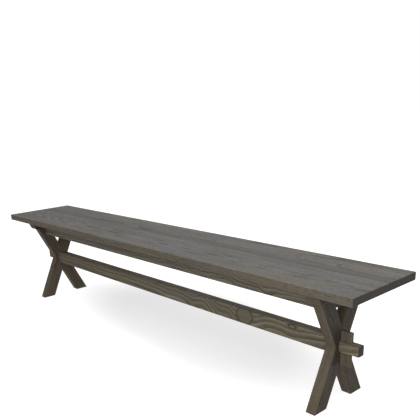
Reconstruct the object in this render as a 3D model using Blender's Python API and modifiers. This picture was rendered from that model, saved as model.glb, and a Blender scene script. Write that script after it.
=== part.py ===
"""Wooden trestle bench, modelled piece by piece in metres, +Z up.

The origin is on the floor under the middle of the seat. +X runs along the bench and +Y to its back. The two trestles
are the same assembly, the left one turned half round about the vertical. Each trestle is two half-lapped legs, a
spacer block in their V and a bearer on top. A stretcher with wedged through tenons joins the trestles, and an apron
under the front and back of the seat runs between them.
"""
import math

import bmesh
import bpy
from mathutils import Matrix, Vector

# Clearances
JOINT_GAP = 0.0003
CUT_OVERRUN = 0.01
HOLE_END_CLEARANCE = 0.001
WELD_DISTANCE = 0.00001

# Seat boards
SEAT_LENGTH = 2.2
SEAT_HEIGHT = 0.456
SEAT_THICKNESS = 0.028
FRONT_STAVE_WIDTH = 0.1865
MIDDLE_STAVE_WIDTH = 0.062
BACK_STAVE_WIDTH = 0.1065
ARRIS_RADIUS = 0.0015

# Trestles
TRESTLE_INSET = 0.168
LEG_THICKNESS = 0.039
LEG_WIDTH = 0.058
LEG_FOOT_REACH = 0.1046
LEG_TOP_REACH = 0.0863
BEARER_WIDTH = 0.058
BEARER_HEIGHT = 0.039
BEARER_OVERHANG = 0.0134
SPACER_HEIGHT = 0.033

# Stretcher, its tenons and their wedges
STRETCHER_THICKNESS = 0.039
STRETCHER_HEIGHT = 0.058
TENON_THICKNESS = 0.028
TENON_HEIGHT = 0.037
TENON_PROJECTION = 0.0785
TENON_ROOT = 0.01
TENON_CHAMFER = 0.004
WEDGE_THICKNESS = 0.011
WEDGE_LENGTH = 0.126
WEDGE_DROP = 0.052
WEDGE_TOP_WIDTH = 0.0425
WEDGE_BOTTOM_WIDTH = 0.0395
WEDGE_ARRIS = 0.001
WEDGE_MORTISE_RELIEF = 0.006

# Aprons
APRON_THICKNESS = 0.028
APRON_HEIGHT = 0.075
APRON_INSET = 0.0228

# Screws and dowels
SCREW_SHANK_RADIUS = 0.00225
SCREW_HEAD_RADIUS = 0.0042
SCREW_HEAD_HEIGHT = 0.004
SCREW_TIP_LENGTH = 0.005
SCREW_SOCKET_RADIUS = 0.0019
SCREW_SOCKET_DEPTH = 0.0022
SCREW_BITE = 0.016
SEAT_SCREW_GRIP = 0.0267
APRON_SCREW_GRIP = 0.025
MIDDLE_SCREW_SHARE = 0.5
APRON_SCREW_SHARES = (-0.665, 0, 0.665)
DOWEL_RADIUS = 0.004
DOWEL_LENGTH = 0.035
DOWEL_CHAMFER = 0.0008
LEG_DOWEL_SPACING = 0.03
APRON_DOWEL_SPACING = 0.016

# Facets and edge angles
ROUND_SEGMENTS = 16
SOCKET_SEGMENTS = 6
ARRIS_SEGMENTS = 2
EDGE_ANGLE = math.radians(30)
FLAT_ANGLE = math.radians(0.5)

# Colour, roughness and metallic value of each material
SEAT_WOOD = ((0.165, 0.16, 0.15), 0.62, 0)
FRAME_WOOD = ((0.095, 0.083, 0.066), 0.66, 0)
WEDGE_WOOD = ((0.11, 0.098, 0.075), 0.64, 0)
DOWEL_WOOD = ((0.5, 0.36, 0.22), 0.7, 0)
SCREW_STEEL = ((0.56, 0.55, 0.52), 0.35, 1)

# Levels and places that follow from the sizes above
SEAT_UNDERSIDE = SEAT_HEIGHT - SEAT_THICKNESS
BEARER_UNDERSIDE = SEAT_UNDERSIDE - BEARER_HEIGHT
LEG_TOP = BEARER_UNDERSIDE - JOINT_GAP
LEG_SLOPE = (LEG_FOOT_REACH + LEG_TOP_REACH) / LEG_TOP
LEG_STRETCH = math.hypot(1, LEG_SLOPE)
LEG_HALF_RUN = LEG_WIDTH / 2 * LEG_STRETCH
CROSSING_HEIGHT = LEG_FOOT_REACH / LEG_SLOPE
SEAT_DEPTH = FRONT_STAVE_WIDTH + MIDDLE_STAVE_WIDTH + BACK_STAVE_WIDTH
TRESTLE_PLACE = SEAT_LENGTH / 2 - TRESTLE_INSET
LEG_FACE = TRESTLE_PLACE + LEG_THICKNESS / 2
APRON_PLACE = LEG_TOP_REACH - APRON_INSET
WEDGE_FLOOR = CROSSING_HEIGHT - TENON_HEIGHT / 2 - WEDGE_DROP
WEDGE_TAPER = (WEDGE_TOP_WIDTH - WEDGE_BOTTOM_WIDTH) / WEDGE_LENGTH
LEG_FASTENING_REACH = LEG_TOP_REACH - LEG_SLOPE * DOWEL_LENGTH / 4

# An outline's first axis runs along +Y or +X, its second runs up, and its thickness takes the third
ACROSS_BENCH = (math.pi / 2, 0, math.pi / 2)
ALONG_BENCH = (math.pi / 2, 0, 0)


def clear_scene():
    """Remove every object and the collections that held them."""
    for thing in list(bpy.data.objects):
        bpy.data.objects.remove(thing, do_unlink=True)
    for group in list(bpy.data.collections):
        bpy.data.collections.remove(group)


def new_collection(name):
    """Add a collection to the scene."""
    group = bpy.data.collections.new(name)
    bpy.context.scene.collection.children.link(group)
    return group


def add_object(name, mesh, group, place=(0, 0, 0), turn=(0, 0, 0)):
    """Place a mesh in a collection as a new object."""
    thing = bpy.data.objects.new(name, mesh)
    thing.location = place
    thing.rotation_euler = turn
    group.objects.link(thing)
    return thing


def add_cutter(name, mesh, group, place=(0, 0, 0), turn=(0, 0, 0)):
    """Place a mesh as a cutter, shown as wire and never rendered."""
    cutter = add_object(name, mesh, group, place, turn)
    cutter.display_type = "WIRE"
    cutter.hide_render = True
    return cutter


def box_mesh(name, size):
    """A box of the given size, centred on its own origin."""
    shape = bmesh.new()
    bmesh.ops.create_cube(shape, size=1)
    bmesh.ops.scale(shape, vec=size, verts=shape.verts)
    mesh = bpy.data.meshes.new(name)
    shape.to_mesh(mesh)
    shape.free()
    return mesh


def plank_mesh(name, outline, thickness):
    """A flat outline given as (across, up) points, made as thick as asked about its own plane."""
    curve = bpy.data.curves.new(name, "CURVE")
    curve.dimensions = "2D"
    curve.fill_mode = "BOTH"
    curve.extrude = thickness / 2
    spline = curve.splines.new("POLY")
    spline.points.add(len(outline) - 1)
    for point, (across, up) in zip(spline.points, outline):
        point.co = (across, up, 0, 1)
    spline.use_cyclic_u = True
    guide = bpy.data.objects.new(name, curve)
    bpy.context.scene.collection.objects.link(guide)
    mesh = evaluated_mesh(guide)
    bpy.data.objects.remove(guide, do_unlink=True)
    shape = bmesh.new()
    shape.from_mesh(mesh)
    bmesh.ops.remove_doubles(shape, verts=shape.verts, dist=WELD_DISTANCE)
    bmesh.ops.dissolve_limit(shape, angle_limit=FLAT_ANGLE, verts=shape.verts, edges=shape.edges)
    shape.to_mesh(mesh)
    shape.free()
    return mesh


def turned_mesh(name, profile):
    """A solid turned about Z from a profile of (radius, height) points, top to bottom, that starts and ends on Z."""
    mesh = bpy.data.meshes.new(name)
    shape = bmesh.new()
    corners = [shape.verts.new((radius, 0, height)) for radius, height in profile]
    for upper, lower in zip(corners, corners[1:]):
        shape.edges.new((upper, lower))
    shape.to_mesh(mesh)
    shape.free()
    blank = bpy.data.objects.new(name, mesh)
    bpy.context.scene.collection.objects.link(blank)
    lathe = blank.modifiers.new("lathe", "SCREW")
    lathe.steps = ROUND_SEGMENTS
    lathe.render_steps = ROUND_SEGMENTS
    lathe.use_merge_vertices = True
    lathe.merge_threshold = WELD_DISTANCE
    turned = evaluated_mesh(blank)
    bpy.data.objects.remove(blank, do_unlink=True)
    return turned


def evaluated_mesh(thing):
    """The mesh of an object with its modifiers applied."""
    bpy.context.view_layer.update()
    depsgraph = bpy.context.evaluated_depsgraph_get()
    return bpy.data.meshes.new_from_object(thing.evaluated_get(depsgraph))


def grouped_mesh(name, mesh, moves):
    """Copies of one mesh, each under its own matrix, as separate bodies of one mesh."""
    shape = bmesh.new()
    for move in moves:
        copy = mesh.copy()
        copy.transform(move)
        shape.from_mesh(copy)
        bpy.data.meshes.remove(copy)
    group = bpy.data.meshes.new(name)
    shape.to_mesh(group)
    shape.free()
    return group


def round_edges(piece, radius, segments=ARRIS_SEGMENTS):
    """Round or chamfer every sharp edge of a piece."""
    arris = piece.modifiers.new("arris", "BEVEL")
    arris.width = radius
    arris.segments = segments
    arris.limit_method = "ANGLE"
    arris.angle_limit = EDGE_ANGLE


def cut(piece, *cutters):
    """Take each cutter's shape out of a piece."""
    for cutter in cutters:
        hole = piece.modifiers.new(cutter.name, "BOOLEAN")
        hole.operation = "DIFFERENCE"
        hole.solver = "EXACT"
        hole.object = cutter


def bake(piece):
    """Replace a piece's mesh by its finished shape, so that a twin can share it."""
    finished = evaluated_mesh(piece)
    finished.name = piece.name
    piece.modifiers.clear()
    piece.data = finished


def paint(piece, finish):
    """Give a piece a material of its own."""
    colour, roughness, metallic = finish
    material = bpy.data.materials.new(piece.name)
    material.use_nodes = True
    shader = material.node_tree.nodes["Principled BSDF"]
    shader.inputs["Base Color"].default_value = (*colour, 1)
    shader.inputs["Roughness"].default_value = roughness
    shader.inputs["Metallic"].default_value = metallic
    piece.data.materials.clear()
    piece.data.materials.append(material)


def smooth_round_faces(piece):
    """Shade a turned piece smooth between its sharp edges."""
    piece.data.shade_smooth()
    piece.data.set_sharp_from_angle(angle=EDGE_ANGLE)


def screw_tools(grip):
    """The mesh of one screw, head down, and of its stepped hole, both with Z zero at the head's seat.

    grip is the thickness of wood between the head's seat and the underside of the seat boards.
    """
    length = grip + SCREW_BITE
    profile = [
        (0, length),
        (SCREW_SHANK_RADIUS, length - SCREW_TIP_LENGTH),
        (SCREW_SHANK_RADIUS, -JOINT_GAP),
        (SCREW_HEAD_RADIUS, -JOINT_GAP),
        (SCREW_HEAD_RADIUS, -JOINT_GAP - SCREW_HEAD_HEIGHT),
        (0, -JOINT_GAP - SCREW_HEAD_HEIGHT),
    ]
    screw = turned_mesh("screw", profile)
    bore_floor = -BEARER_HEIGHT - APRON_HEIGHT
    hole_top = length + HOLE_END_CLEARANCE
    bore_profile = [
        (0, hole_top),
        (SCREW_SHANK_RADIUS + JOINT_GAP, hole_top),
        (SCREW_SHANK_RADIUS + JOINT_GAP, 0),
        (SCREW_HEAD_RADIUS + JOINT_GAP, 0),
        (SCREW_HEAD_RADIUS + JOINT_GAP, bore_floor),
        (0, bore_floor),
    ]
    return socketed(screw), turned_mesh("screw_hole", bore_profile)


def socketed(screw):
    """Sink a hexagon socket into the head of a screw mesh."""
    shape = bmesh.new()
    bmesh.ops.create_cone(
        shape,
        cap_ends=True,
        segments=SOCKET_SEGMENTS,
        radius1=SCREW_SOCKET_RADIUS,
        radius2=SCREW_SOCKET_RADIUS,
        depth=SCREW_SOCKET_DEPTH * 2,
    )
    socket_mesh = bpy.data.meshes.new("socket")
    shape.to_mesh(socket_mesh)
    shape.free()
    head_end = -JOINT_GAP - SCREW_HEAD_HEIGHT
    socket = add_cutter("socket", socket_mesh, bpy.context.scene.collection, (0, 0, head_end))
    blank = add_object("screw_blank", screw, bpy.context.scene.collection)
    cut(blank, socket)
    finished = evaluated_mesh(blank)
    bpy.data.objects.remove(blank, do_unlink=True)
    bpy.data.objects.remove(socket, do_unlink=True)
    return finished


def dowel_mesh(extra_radius, extra_length, chamfer):
    """A dowel, or the cutter for its hole, centred on its own origin with its length along Z."""
    half = DOWEL_LENGTH / 2 + extra_length
    radius = DOWEL_RADIUS + extra_radius
    profile = [
        (0, half),
        (radius - chamfer, half),
        (radius, half - chamfer),
        (radius, chamfer - half),
        (radius - chamfer, -half),
        (0, -half),
    ]
    if chamfer == 0:
        profile = [(0, half), (radius, half), (radius, -half), (0, -half)]
    return turned_mesh("dowel", profile)


def seat_screw_moves():
    """Places of the seat screws, two outer and two middle ones in each bearer, seated on the counterbores' floors."""
    reaches = (LEG_FASTENING_REACH, LEG_FASTENING_REACH * MIDDLE_SCREW_SHARE)
    level = SEAT_UNDERSIDE - SEAT_SCREW_GRIP
    return [
        Matrix.Translation((side * TRESTLE_PLACE, edge * reach, level))
        for side in (-1, 1)
        for edge in (-1, 1)
        for reach in reaches
    ]


def apron_half_length():
    """From the bench's middle to the shoulder where an apron butts against a bearer."""
    return TRESTLE_PLACE - BEARER_WIDTH / 2 - JOINT_GAP


def apron_screw_moves():
    """Places of the apron screws, along both aprons."""
    level = SEAT_UNDERSIDE - APRON_SCREW_GRIP
    return [
        Matrix.Translation((share * apron_half_length(), edge * APRON_PLACE, level))
        for edge in (-1, 1)
        for share in APRON_SCREW_SHARES
    ]


def leg_dowel_moves():
    """Places of the upright dowels between the leg tops and the bearers."""
    return [
        Matrix.Translation(
            (side * TRESTLE_PLACE, edge * (LEG_FASTENING_REACH + step * LEG_DOWEL_SPACING / 2), BEARER_UNDERSIDE)
        )
        for side in (-1, 1)
        for edge in (-1, 1)
        for step in (-1, 1)
    ]


def apron_dowel_moves():
    """Places of the level dowels between the aprons' shoulders and the bearers."""
    middle = BEARER_UNDERSIDE + BEARER_HEIGHT / 2
    lay_down = Matrix.Rotation(math.pi / 2, 4, "Y")
    return [
        Matrix.Translation(
            (side * (TRESTLE_PLACE - BEARER_WIDTH / 2), edge * APRON_PLACE, middle + step * APRON_DOWEL_SPACING / 2)
        )
        @ lay_down
        for side in (-1, 1)
        for edge in (-1, 1)
        for step in (-1, 1)
    ]


def add_copies(name, mesh, finish, moves, parts):
    """Place one numbered fastener at each move, all sharing one mesh and its material."""
    for number, move in enumerate(moves, 1):
        copy = add_object(f"{name}_{number}", mesh, parts, move.to_translation(), move.to_euler())
    smooth_round_faces(copy)
    paint(copy, finish)


def build_fasteners(parts, cutters):
    """Model the screws and dowels and return the cutters for their holes."""
    holes = {}
    screw_groups = (
        ("seat_screw", SEAT_SCREW_GRIP, seat_screw_moves()),
        ("apron_screw", APRON_SCREW_GRIP, apron_screw_moves()),
    )
    for name, grip, moves in screw_groups:
        screw, hole = screw_tools(grip)
        add_copies(name, screw, SCREW_STEEL, moves, parts)
        holes[name] = add_cutter(name + "_holes", grouped_mesh(name, hole, moves), cutters)
    dowel = dowel_mesh(0, 0, DOWEL_CHAMFER)
    dowel_hole = dowel_mesh(JOINT_GAP, HOLE_END_CLEARANCE, 0)
    for name, moves in (("leg_dowel", leg_dowel_moves()), ("apron_dowel", apron_dowel_moves())):
        add_copies(name, dowel, DOWEL_WOOD, moves, parts)
        holes[name] = add_cutter(name + "_holes", grouped_mesh(name, dowel_hole, moves), cutters)
    return holes


def stave_edges_to_round(mesh, joint_sides):
    """Mark the edges of a seat board that lie on the seat's outside, leaving its glue joints sharp.

    joint_sides holds -1 for a joint at the board's front and 1 for one at its back.
    """
    shape = bmesh.new()
    shape.from_mesh(mesh)
    weight = shape.edges.layers.float.new("bevel_weight_edge")
    for edge in shape.edges:
        sides = {round(face.normal.y) for face in edge.link_faces}
        edge[weight] = 0 if sides & set(joint_sides) else 1
    shape.to_mesh(mesh)
    shape.free()


def build_seat(parts, holes):
    """Model the three seat boards, front to back."""
    staves = (
        ("seat_stave_front", FRONT_STAVE_WIDTH, (1,)),
        ("seat_stave_middle", MIDDLE_STAVE_WIDTH, (-1, 1)),
        ("seat_stave_back", BACK_STAVE_WIDTH, (-1,)),
    )
    front = -SEAT_DEPTH / 2
    for name, width, joint_sides in staves:
        low = front + (JOINT_GAP / 2 if -1 in joint_sides else 0)
        high = front + width - (JOINT_GAP / 2 if 1 in joint_sides else 0)
        mesh = box_mesh(name, (SEAT_LENGTH, high - low, SEAT_THICKNESS))
        stave_edges_to_round(mesh, joint_sides)
        place = (0, (low + high) / 2, SEAT_HEIGHT - SEAT_THICKNESS / 2)
        stave = add_object(name, mesh, parts, place)
        arris = stave.modifiers.new("arris", "BEVEL")
        arris.width = ARRIS_RADIUS
        arris.segments = ARRIS_SEGMENTS
        arris.limit_method = "WEIGHT"
        cut(stave, holes["seat_screw"], holes["apron_screw"])
        paint(stave, SEAT_WOOD)
        front += width


def build_aprons(parts, holes):
    """Model the two aprons, notched at each end to pass under the bearer and meet the leg."""
    shoulder = apron_half_length()
    end = TRESTLE_PLACE - LEG_THICKNESS / 2 - JOINT_GAP
    floor = SEAT_UNDERSIDE - APRON_HEIGHT
    notch = LEG_TOP
    top = SEAT_UNDERSIDE - JOINT_GAP
    half = [(end, floor), (end, notch), (shoulder, notch), (shoulder, top)]
    outline = half + [(-across, up) for across, up in reversed(half)]
    for name, edge in (("front_apron", -1), ("back_apron", 1)):
        mesh = plank_mesh(name, outline, APRON_THICKNESS)
        apron = add_object(name, mesh, parts, (0, edge * APRON_PLACE, 0), ALONG_BENCH)
        round_edges(apron, ARRIS_RADIUS)
        cut(apron, holes["apron_screw"], holes["apron_dowel"])
        paint(apron, FRAME_WOOD)


def leg_outline(lean, widening, overrun):
    """The slanted outline of one leg, seen from the bench's end.

    lean is 1 for a leg whose foot is at +Y and -1 for its partner. widening is added square to each long side, and
    overrun to each end.
    """
    half_run = LEG_HALF_RUN + widening * LEG_STRETCH
    floor, top = -overrun, LEG_TOP + overrun
    corners = ((floor, -half_run), (floor, half_run), (top, half_run), (top, -half_run))
    return [(lean * (LEG_FOOT_REACH - LEG_SLOPE * up) + run, up) for up, run in corners]


def tenon_mortise(cutters):
    """The cutter for the right trestle's mortise, which takes the stretcher's tenon through both legs."""
    size = (
        LEG_THICKNESS + CUT_OVERRUN * 2,
        TENON_THICKNESS + JOINT_GAP * 2,
        TENON_HEIGHT + JOINT_GAP * 2,
    )
    return add_cutter("tenon_mortise", box_mesh("tenon_mortise", size), cutters, (TRESTLE_PLACE, 0, CROSSING_HEIGHT))


def lap_cutter(name, lean, side, cutters):
    """The cutter for a half lap: the partner leg's outline, taken from one side of the trestle's middle plane.

    lean is the partner's, and side is 1 where the outer half is cut away and -1 where the inner half is.
    """
    thickness = LEG_THICKNESS / 2 + CUT_OVERRUN
    mesh = plank_mesh(name, leg_outline(lean, JOINT_GAP, CUT_OVERRUN), thickness)
    middle = TRESTLE_PLACE + side * (thickness - JOINT_GAP) / 2
    return add_cutter(name, mesh, cutters, (middle, 0, 0), ACROSS_BENCH)


def build_right_trestle(parts, cutters, holes):
    """Model the right trestle's legs, spacer block and bearer, finished so that the left ones can share them."""
    mortise = tenon_mortise(cutters)
    pieces = []
    for name, lean, cut_side in (("right_leg_back_foot", 1, -1), ("right_leg_front_foot", -1, 1)):
        mesh = plank_mesh(name, leg_outline(lean, 0, 0), LEG_THICKNESS)
        leg = add_object(name, mesh, parts, (TRESTLE_PLACE, 0, 0), ACROSS_BENCH)
        round_edges(leg, ARRIS_RADIUS)
        cut(leg, lap_cutter(name + "_lap", -lean, cut_side, cutters), mortise, holes["leg_dowel"])
        pieces.append((leg, FRAME_WOOD))
    pieces.append((spacer_block(parts), FRAME_WOOD))
    pieces.append((bearer(parts, holes), FRAME_WOOD))
    for piece, finish in pieces:
        bake(piece)
        paint(piece, finish)
    return [piece for piece, _ in pieces]


def spacer_block(parts):
    """Model the block that fills the top of the V between the legs."""
    def half_width(up):
        return LEG_SLOPE * (up - CROSSING_HEIGHT) - LEG_HALF_RUN - JOINT_GAP * LEG_STRETCH

    floor = LEG_TOP - SPACER_HEIGHT
    outline = [
        (-half_width(floor), floor),
        (half_width(floor), floor),
        (half_width(LEG_TOP), LEG_TOP),
        (-half_width(LEG_TOP), LEG_TOP),
    ]
    mesh = plank_mesh("right_spacer_block", outline, LEG_THICKNESS)
    block = add_object("right_spacer_block", mesh, parts, (TRESTLE_PLACE, 0, 0), ACROSS_BENCH)
    round_edges(block, ARRIS_RADIUS)
    return block


def bearer(parts, holes):
    """Model the batten on the leg tops, its ends sloped like the legs."""
    top = SEAT_UNDERSIDE - JOINT_GAP
    low_half = LEG_TOP_REACH + LEG_HALF_RUN + BEARER_OVERHANG
    high_half = low_half + LEG_SLOPE * (top - BEARER_UNDERSIDE)
    outline = [
        (-low_half, BEARER_UNDERSIDE),
        (low_half, BEARER_UNDERSIDE),
        (high_half, top),
        (-high_half, top),
    ]
    mesh = plank_mesh("right_bearer", outline, BEARER_WIDTH)
    batten = add_object("right_bearer", mesh, parts, (TRESTLE_PLACE, 0, 0), ACROSS_BENCH)
    round_edges(batten, ARRIS_RADIUS)
    cut(batten, holes["seat_screw"], holes["leg_dowel"], holes["apron_dowel"])
    return batten


def wedge_outline(floor, top, inner, widening):
    """The side outline of a wedge between two levels, as x from the bench's middle and height.

    inner is the x of its upright face, and widening is added square to its sloping outer face.
    """
    def outer(up):
        width = WEDGE_BOTTOM_WIDTH + WEDGE_TAPER * (up - WEDGE_FLOOR)
        return LEG_FACE + JOINT_GAP + width + widening * math.hypot(1, WEDGE_TAPER)

    return [(inner, floor), (outer(floor), floor), (outer(top), top), (inner, top)]


def build_right_wedge(parts):
    """Model the right wedge, with its origin on the line along which it lifts."""
    place = Vector((LEG_FACE + JOINT_GAP + WEDGE_BOTTOM_WIDTH / 2, 0, CROSSING_HEIGHT))
    outline = wedge_outline(WEDGE_FLOOR, WEDGE_FLOOR + WEDGE_LENGTH, LEG_FACE + JOINT_GAP, 0)
    local_outline = [(across - place.x, up - place.z) for across, up in outline]
    mesh = plank_mesh("right_wedge", local_outline, WEDGE_THICKNESS)
    wedge = add_object("right_wedge", mesh, parts, place, ALONG_BENCH)
    round_edges(wedge, WEDGE_ARRIS)
    bake(wedge)
    paint(wedge, WEDGE_WOOD)
    return wedge


def tenon_mesh(name, length):
    """A tenon with eased long edges and a chamfered end, centred on its own origin with that end at +X."""
    blank = box_mesh(name, (length, TENON_THICKNESS, TENON_HEIGHT))
    shape = bmesh.new()
    shape.from_mesh(blank)
    long_edges = [edge for edge in shape.edges if edge.calc_length() > length - WELD_DISTANCE]
    bmesh.ops.bevel(
        shape, geom=long_edges, offset=ARRIS_RADIUS, segments=ARRIS_SEGMENTS, profile=0.5, affect="EDGES"
    )
    end = length / 2 - WELD_DISTANCE
    end_edges = [edge for edge in shape.edges if min(corner.co.x for corner in edge.verts) > end]
    bmesh.ops.bevel(shape, geom=end_edges, offset=TENON_CHAMFER, segments=1, profile=0.5, affect="EDGES")
    shape.to_mesh(blank)
    shape.free()
    return blank


def build_stretcher(parts, cutters):
    """Model the stretcher with a chamfered through tenon and a wedge mortise at each end."""
    shoulder = TRESTLE_PLACE - LEG_THICKNESS / 2 - JOINT_GAP
    body = box_mesh("stretcher", (shoulder * 2, STRETCHER_THICKNESS, STRETCHER_HEIGHT))
    stretcher = add_object("stretcher", body, parts, (0, 0, CROSSING_HEIGHT))
    round_edges(stretcher, ARRIS_RADIUS)
    low, high = shoulder - TENON_ROOT, LEG_FACE + TENON_PROJECTION
    tenon_floor = CROSSING_HEIGHT - TENON_HEIGHT / 2 - CUT_OVERRUN
    tenon_roof = CROSSING_HEIGHT + TENON_HEIGHT / 2 + CUT_OVERRUN
    slot = wedge_outline(tenon_floor, tenon_roof, LEG_FACE - WEDGE_MORTISE_RELIEF, JOINT_GAP)
    for name, side in (("left", -1), ("right", 1)):
        facing = (0, 0, 0 if side == 1 else math.pi)
        blank = tenon_mesh(name + "_tenon", high - low)
        tenon = add_cutter(name + "_tenon", blank, cutters, (side * (low + high) / 2, 0, CROSSING_HEIGHT), facing)
        join = stretcher.modifiers.new(tenon.name, "BOOLEAN")
        join.operation = "UNION"
        join.solver = "EXACT"
        join.object = tenon
        slot_mesh = plank_mesh(name + "_wedge_mortise", slot, WEDGE_THICKNESS + JOINT_GAP * 2)
        turn = (math.pi / 2, 0, 0 if side == 1 else math.pi)
        cut(stretcher, add_cutter(name + "_wedge_mortise", slot_mesh, cutters, (0, 0, 0), turn))
    paint(stretcher, FRAME_WOOD)


def add_left_twins(right_pieces, parts):
    """Turn each right piece half round about the vertical to make its left twin, which shares its mesh.

    The turn swaps front and back, so the right leg with its foot at the back becomes the left one with its foot at
    the front.
    """
    swapped = {"back_foot": "front_foot", "front_foot": "back_foot"}
    half_turn = bpy.data.objects.new("left_trestle_turn", None)
    half_turn.rotation_euler = (0, 0, math.pi)
    parts.objects.link(half_turn)
    for piece in right_pieces:
        name = piece.name.replace("right_", "left_")
        for ending, other in swapped.items():
            if piece.name.endswith(ending):
                name = name.replace(ending, other)
        twin = add_object(name, piece.data, parts, piece.location, piece.rotation_euler)
        twin.parent = half_turn


def build_bench():
    """Model the whole bench."""
    clear_scene()
    parts = new_collection("wooden_bench")
    cutters = new_collection("cutters")
    holes = build_fasteners(parts, cutters)
    build_seat(parts, holes)
    build_aprons(parts, holes)
    build_stretcher(parts, cutters)
    right_pieces = build_right_trestle(parts, cutters, holes)
    right_pieces.append(build_right_wedge(parts))
    add_left_twins(right_pieces, parts)


build_bench()
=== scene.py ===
"""The looks of a wooden trestle bench: dark stained, open-grained timber on a white studio floor."""

import logging
import math
from collections.abc import Callable, Iterable
from dataclasses import dataclass, field, replace
from enum import Enum

import bmesh
import bpy
from mathutils import Matrix, Vector, noise


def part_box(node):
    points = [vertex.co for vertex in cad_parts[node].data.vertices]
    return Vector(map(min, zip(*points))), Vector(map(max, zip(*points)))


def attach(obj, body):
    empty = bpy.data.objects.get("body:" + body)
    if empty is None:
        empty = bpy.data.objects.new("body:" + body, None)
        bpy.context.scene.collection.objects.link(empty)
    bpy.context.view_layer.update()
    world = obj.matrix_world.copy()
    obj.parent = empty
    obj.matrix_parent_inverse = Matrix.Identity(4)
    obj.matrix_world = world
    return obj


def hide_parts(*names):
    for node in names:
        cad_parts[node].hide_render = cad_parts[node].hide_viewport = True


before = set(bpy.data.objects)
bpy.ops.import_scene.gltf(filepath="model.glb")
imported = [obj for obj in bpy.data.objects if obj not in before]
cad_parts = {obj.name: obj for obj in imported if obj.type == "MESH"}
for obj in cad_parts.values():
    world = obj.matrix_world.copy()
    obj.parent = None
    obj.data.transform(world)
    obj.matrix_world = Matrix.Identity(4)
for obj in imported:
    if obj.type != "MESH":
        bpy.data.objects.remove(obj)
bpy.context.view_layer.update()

LOG = logging.getLogger("bench")

Colour = tuple[float, float, float]
Span = tuple[float, float]

TINY = 0.00001
JOINT_GAP = 0.0003
CUT_OVERRUN = 0.01
TENON_THICKNESS = 0.028
TENON_HEIGHT = 0.037
FLAT_ANGLE = math.radians(0.5)
EASED_ANGLE = math.radians(30)
SHARP_ANGLE = math.radians(35)
FRAME_BODY = "frame"

ALONG = Vector((1, 0, 0))
BACKWARD = Vector((0, 1, 0))
UP = Vector((0, 0, 1))


class Sign(Enum):
    """A choice between the two directions of an axis."""

    @property
    def word(self) -> str:
        """The choice's name as the part's nodes spell it."""
        return self.name.lower()


class Side(Sign):
    """Which trestle a piece belongs to, with the sign of its place along X."""

    LEFT = -1
    RIGHT = 1


class End(Sign):
    """Whether something is at the bench's front or back, with the sign of its place along Y."""

    FRONT = -1
    BACK = 1


class Value:
    """One number socket of a shader, with arithmetic that adds Math nodes."""

    def __init__(self, graph: "ShaderGraph", socket: bpy.types.NodeSocket) -> None:
        """Wrap an output socket of a graph."""
        self.graph = graph
        self.socket = socket

    def _math(self, operation: str, first: "Value | float", second: "Value | float") -> "Value":
        """The result of one Math node."""
        return self.graph.add("ShaderNodeMath", {"operation": operation}, {0: first, 1: second})

    def __add__(self, other: "Value | float") -> "Value":
        """The sum."""
        return self._math("ADD", self, other)

    def __radd__(self, other: float) -> "Value":
        """The sum, with the number first."""
        return self._math("ADD", other, self)

    def __sub__(self, other: "Value | float") -> "Value":
        """The difference."""
        return self._math("SUBTRACT", self, other)

    def __rsub__(self, other: float) -> "Value":
        """The difference, with the number first."""
        return self._math("SUBTRACT", other, self)

    def __mul__(self, other: "Value | float") -> "Value":
        """The product."""
        return self._math("MULTIPLY", self, other)

    def __rmul__(self, other: float) -> "Value":
        """The product, with the number first."""
        return self._math("MULTIPLY", other, self)

    def __truediv__(self, other: "Value | float") -> "Value":
        """The quotient."""
        return self._math("DIVIDE", self, other)

    def __pow__(self, other: "Value | float") -> "Value":
        """The power."""
        return self._math("POWER", self, other)

    def __abs__(self) -> "Value":
        """The size without its sign."""
        return self._math("ABSOLUTE", self, 0)

    def whole(self) -> "Value":
        """The whole number at or below this one."""
        return self._math("FLOOR", self, 0)

    def part(self) -> "Value":
        """What is left above the whole number."""
        return self._math("FRACT", self, 0)

    def root(self) -> "Value":
        """The square root."""
        return self._math("SQRT", self, 0)

    def least(self, other: "Value | float") -> "Value":
        """The smaller of two."""
        return self._math("MINIMUM", self, other)

    def most(self, other: "Value | float") -> "Value":
        """The larger of two."""
        return self._math("MAXIMUM", self, other)

    def bell(self) -> "Value":
        """One where this is zero, falling smoothly to nothing as it grows either way."""
        return self._math("EXPONENT", self * self * -1, 0)

    def rise(self, start: float, stop: float) -> "Value":
        """A smooth step.

        Args:
            start: Where the step is still 0.
            stop: Where it has reached 1. It may be below start, for a step that falls.

        Returns:
            The step, from 0 to 1.
        """
        inputs = {"Value": self, "From Min": min(start, stop), "From Max": max(start, stop)}
        inputs["To Min"], inputs["To Max"] = (0, 1) if start < stop else (1, 0)
        return self.graph.add("ShaderNodeMapRange", {"interpolation_type": "SMOOTHSTEP"}, inputs)


@dataclass(frozen=True)
class Pattern:
    """A smooth noise: its lumps in a metre by axis, its finer layers, and its shift in lumps."""

    scale: tuple[float, float, float]
    detail: float
    shift: float = 0


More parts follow.
